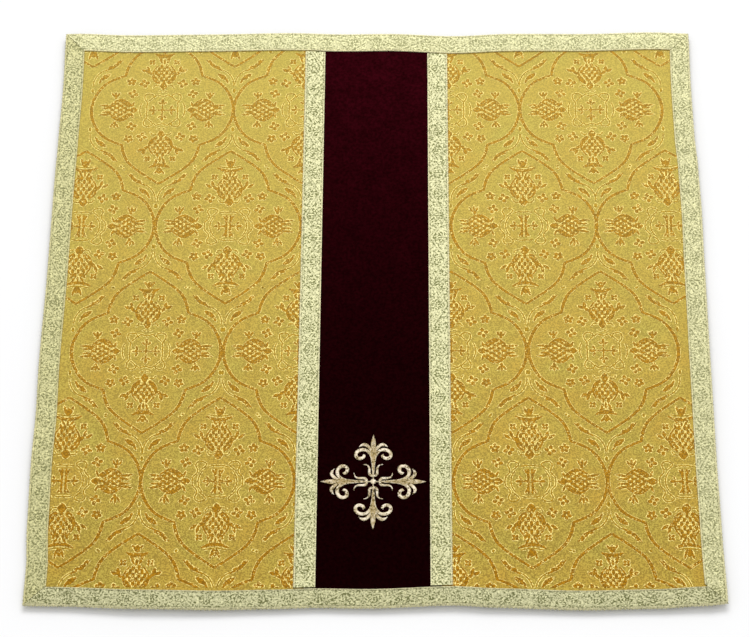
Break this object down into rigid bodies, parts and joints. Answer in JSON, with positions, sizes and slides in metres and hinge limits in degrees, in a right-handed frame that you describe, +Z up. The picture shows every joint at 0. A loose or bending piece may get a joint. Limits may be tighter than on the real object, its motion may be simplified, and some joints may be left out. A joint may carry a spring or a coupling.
{
  "type": "chalice veil",
  "caption": "Square chalice veil of gold figured brocade with a dark red velvet stripe, woven galloon trim and an embroidered cross, lying flat.",
  "frame": {"origin": "middle of the underside, on the surface that the veil lies on", "axes": "+Z up out of the cloth's face, the thin way through it; +Y towards the top edge, away from the cross; +X to the right as the cross is read"},
  "size_m": [0.5224, 0.524, 0.0027],
  "materials": {
    "brocade": "figured silk and metallic brocade, satin sheen",
    "velvet": "cut pile, matt",
    "galloon": "woven metallic braid, glinting",
    "embroidery": "satin stitch, soft sheen"
  },
  "bodies": {
    "root": {"brocade_panel_left": "brocade", "brocade_panel_right": "brocade", "velvet_stripe": "velvet", "galloon_column_left": "galloon", "galloon_column_right": "galloon", "galloon_border_top": "galloon", "galloon_border_bottom": "galloon", "galloon_border_left": "galloon", "galloon_border_right": "galloon", "embroidered_cross": "embroidery"}
  },
  "joints": []
}
